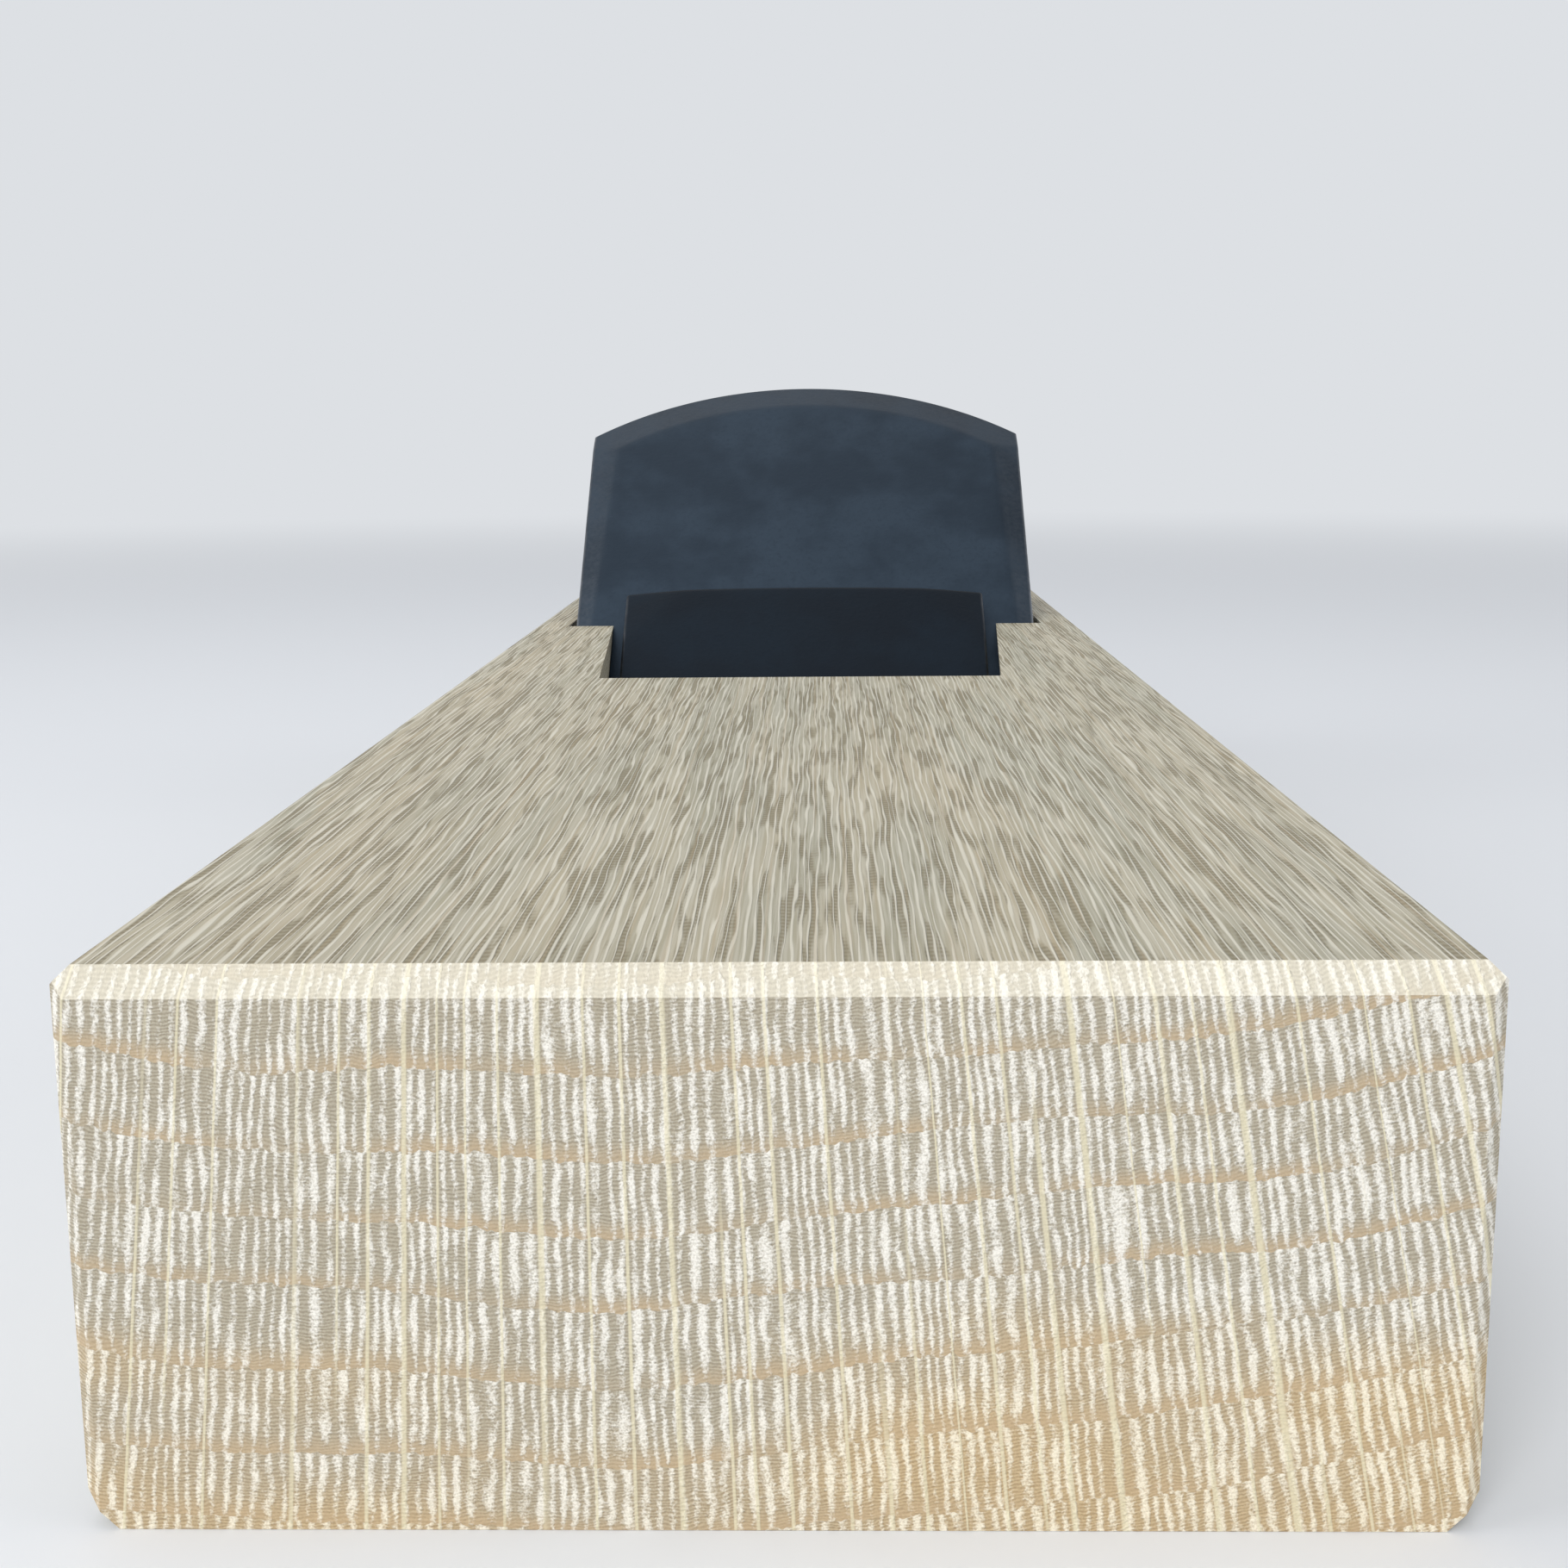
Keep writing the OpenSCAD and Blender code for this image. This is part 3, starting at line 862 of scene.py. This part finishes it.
def forged(name, bright, dark, uneven_scale_and_sheen, metal=0.85):
    """Dark scale with lighter clouds, partly uneven scale and partly painted sheen, and a fine grain.
    Bright metal where it is rubbed or ground, and a little of it on the chamfers, partly filed metal
    and partly a painted highlight. metal is how metallic the scale is; bare metal is all metal."""
    finish, tree, shader = new_finish(name)
    x, y, z = millimetres(tree)
    cloud = noise(x, y, z, 3.0, 0.6, scale=0.07)
    wear = noise(x, y, z, 3.0, 0.6, scale=0.22)
    grain = noise(x, y, z, 4.0, 0.6, scale=1.4)
    scratch = noise(x * 0.15, y * 5.0, z * 5.0, 3.0, 0.6)
    near_rim = step(mark(tree, "rim"), 0.02, 0.5, 1.0, 0.0)
    rubbed = near_rim * step(wear, 0.35, 0.65, 0.12, 0.42)
    bare = calc("MAXIMUM", rubbed, step(mark(tree, "ground"), 0.4, 0.6))
    # the chamfer mark with a grain: where the lighter tone goes, partly filed metal, partly painted
    # highlight
    filed_and_highlight = mark(tree, "filed_and_highlight") * step(grain, 0.2, 0.8, 0.04, 0.16)
    # lighter clouds: partly uneven scale, partly a painted sheen
    colour = blend(step(cloud, 0.35, 0.7), dark, uneven_scale_and_sheen)
    colour = blend(step(grain, 0.45, 0.75) * 0.35, colour, dark)
    # chamfers lightened a little: partly filed metal, partly a painted highlight
    colour = blend(filed_and_highlight, colour, between(uneven_scale_and_sheen, bright, 0.35))
    colour = blend(bare, colour, bright)
    plug(shader.inputs["Base Color"], colour)
    plug(shader.inputs["Metallic"], bare * (1.0 - metal) + metal)
    plug(shader.inputs["Roughness"], cloud * 0.25 + 0.36 - bare * 0.16)
    relief(shader, grain * 0.7 + scratch * (bare * 0.3), 0.05)
    return finish


# %% Dress the metal pieces
# the second tone of each pair is the lighter cloud: partly uneven scale, partly a painted sheen
SLATE = tone(30, 41, 52), tone(45, 57, 69)
BLACK_SCALE = tone(10, 19, 28), tone(16, 27, 37)
DRAWN = tone(116, 118, 121), tone(132, 134, 137)
dress(forged("forged iron", tone(150, 152, 155), *SLATE), iron_back)
dress(forged("hard steel", tone(182, 185, 190), *SLATE), steel_face, chip_layer)
dress(forged("dark chipbreaker", tone(120, 123, 127), *BLACK_SCALE), chip_plate)
dress(forged("drawn steel", tone(165, 166, 168), *DRAWN, metal=1.0), pin_rod)

# %% [markdown]
# ## Studio
#
# The block stands on a wide round sheet of pale paper. Far from the block the sheet turns into
# the same even tone as the room behind it, so no horizon shows from any side, and near the block
# it stays real paper that takes the shadow.

# %% Round floor
ROOM, PAPER = tone(221, 224, 228), tone(231, 233, 236)
FLOOR_DROP = 0.02
NEAR_FLOOR, FAR_FLOOR = 350.0, 1250.0


def floor_sheet():
    """Rings of radius r: points (r cos a, r sin a), a hair below the sole so the two never mix."""
    radius = np.array([0.0, 0.2, 0.5, 1.0, 2.0, 4.0, 12.0, 40.0])[:, None]
    angle = np.linspace(0, 2 * np.pi, 97)[None, :]
    flat = np.full((radius.size, angle.size), -FLOOR_DROP * MM)
    points = np.stack([radius * np.cos(angle), radius * np.sin(angle), flat], -1).reshape(-1, 3)
    at = np.arange(flat.size).reshape(flat.shape)
    return mesh_piece("studio_floor", points, grid_quads(at.T), crease=80.0)


floor = floor_sheet()


# %% Paper that gives way to the room's tone
def seen_ray(tree):
    """1 where the camera, a reflection or a refraction looks, 0 for light that only bounces."""
    ray = tree.nodes.new("ShaderNodeLightPath")
    kinds = ("Is Camera Ray", "Is Glossy Ray", "Is Transmission Ray")
    camera_ray, glossy_ray, clear_ray = (Field(tree, ray.outputs[kind]) for kind in kinds)
    return calc("MAXIMUM", calc("MAXIMUM", camera_ray, glossy_ray), clear_ray)


def mix_light(amount, first, second, output):
    """Sends a mix of two shaders to an output: first where a field is 0, second where it is 1."""
    mixed = amount.tree.nodes.new("ShaderNodeMixShader")
    plug(mixed.inputs[0], amount)
    amount.tree.links.new(first.outputs[0], mixed.inputs[1])
    amount.tree.links.new(second.outputs[0], mixed.inputs[2])
    amount.tree.links.new(mixed.outputs[0], output.inputs[0])


def paper():
    """Matt paper that gives way to the room's tone from NEAR_FLOOR to FAR_FLOOR from the block."""
    finish, tree, shader = new_finish("studio paper")
    plug(shader.inputs["Base Color"], PAPER)
    plug(shader.inputs["Roughness"], 0.9)
    room = tree.nodes.new("ShaderNodeEmission")
    plug(room.inputs["Color"], ROOM)
    x, y, z = millimetres(tree)
    reach = calc("SQRT", x * x + y * y)
    far_floor = step(reach, NEAR_FLOOR, FAR_FLOOR) * seen_ray(tree)
    mix_light(far_floor, shader, room, tree.nodes["Material Output"])
    return finish


dress(paper(), floor)

# %% [markdown]
# ## Light
#
# Four soft lamps light the block: the main one in front and above, which rakes over the end's
# relief, one overhead, and a weaker pair at the sides for the metal's edges. The room adds a
# little light from everywhere, so that the well and the mouth aren't black.

# %% Lamps
AIM = Vector((0, 0, 0.03))


def lamp(name, place, size, power, spread=180.0):
    """A square soft lamp turned to the block. A spread in degrees keeps it off the near floor."""
    light = bpy.data.lights.new(name, "AREA")
    light.shape = "SQUARE"
    light.size = size
    light.energy = power
    light.spread = math.radians(spread)
    holder = bpy.data.objects.new(name, light)
    holder.location = place
    holder.rotation_euler = (AIM - Vector(place)).to_track_quat("-Z", "Y").to_euler()
    bpy.context.scene.collection.objects.link(holder)
    print(name, "gives", power, "watts")


lamp("front lamp", (-0.30, -1.05, 0.75), 0.7, 2.75, 100.0)
lamp("top lamp", (-0.25, 0.15, 1.1), 0.9, 3.0)
lamp("left lamp", (-1.0, -0.30, 0.45), 0.6, 2.8)
lamp("right lamp", (1.0, -0.20, 0.55), 0.6, 1.6)


# %% Room
SOFT_LIGHT, SOFT_POWER = (0.86, 0.89, 0.94, 1), 0.45


def room_light():
    """Soft light of the room, with the room's own tone where it is looked at."""
    world = bpy.data.worlds.new("soft room")
    bpy.context.scene.world = world
    world.use_nodes = True
    tree = world.node_tree
    soft = tree.nodes["Background"]
    plug(soft.inputs["Color"], SOFT_LIGHT)
    plug(soft.inputs["Strength"], SOFT_POWER)
    looked_at = tree.nodes.new("ShaderNodeBackground")
    plug(looked_at.inputs["Color"], ROOM)
    mix_light(seen_ray(tree), soft, looked_at, tree.nodes["World Output"])


room_light()
bpy.context.scene.view_settings.view_transform = "Standard"
print("the room's tone in linear values:", [round(v, 3) for v in ROOM[:3]])

# %% [markdown]
# ## Camera
#
# The plane is seen along its length from the toe end, from 107 mm in front of it and 64 mm up,
# looking ten degrees down, which makes the near end large and the blade small. The photograph's
# own edges gave this place: a camera was fitted to where the block's arrises lie in it.

# %% Place the camera
PHOTO_PX, FOCAL_PX, SENSOR = 1820.0, 2311.0, 36.0
CAMERA_PLACE = (0.00292, -0.24448, 0.0639)
YAW, PITCH, ROLL = 1.19, -10.29, -0.52

camera_data = bpy.data.cameras.new("camera")
camera_data.sensor_width = SENSOR
camera_data.lens = FOCAL_PX / PHOTO_PX * SENSOR
camera_data.clip_start = 0.005
camera_data.clip_end = 200.0
camera = bpy.data.objects.new("camera", camera_data)
turn = Matrix.Rotation(math.radians(YAW), 4, "Z") @ Matrix.Rotation(math.radians(90 + PITCH), 4, "X")
turn = turn @ Matrix.Rotation(math.radians(ROLL), 4, "Z")
camera.matrix_world = Matrix.Translation(CAMERA_PLACE) @ turn
bpy.context.scene.collection.objects.link(camera)
bpy.context.scene.camera = camera
print("camera lens of", round(camera_data.lens, 1), "mm")
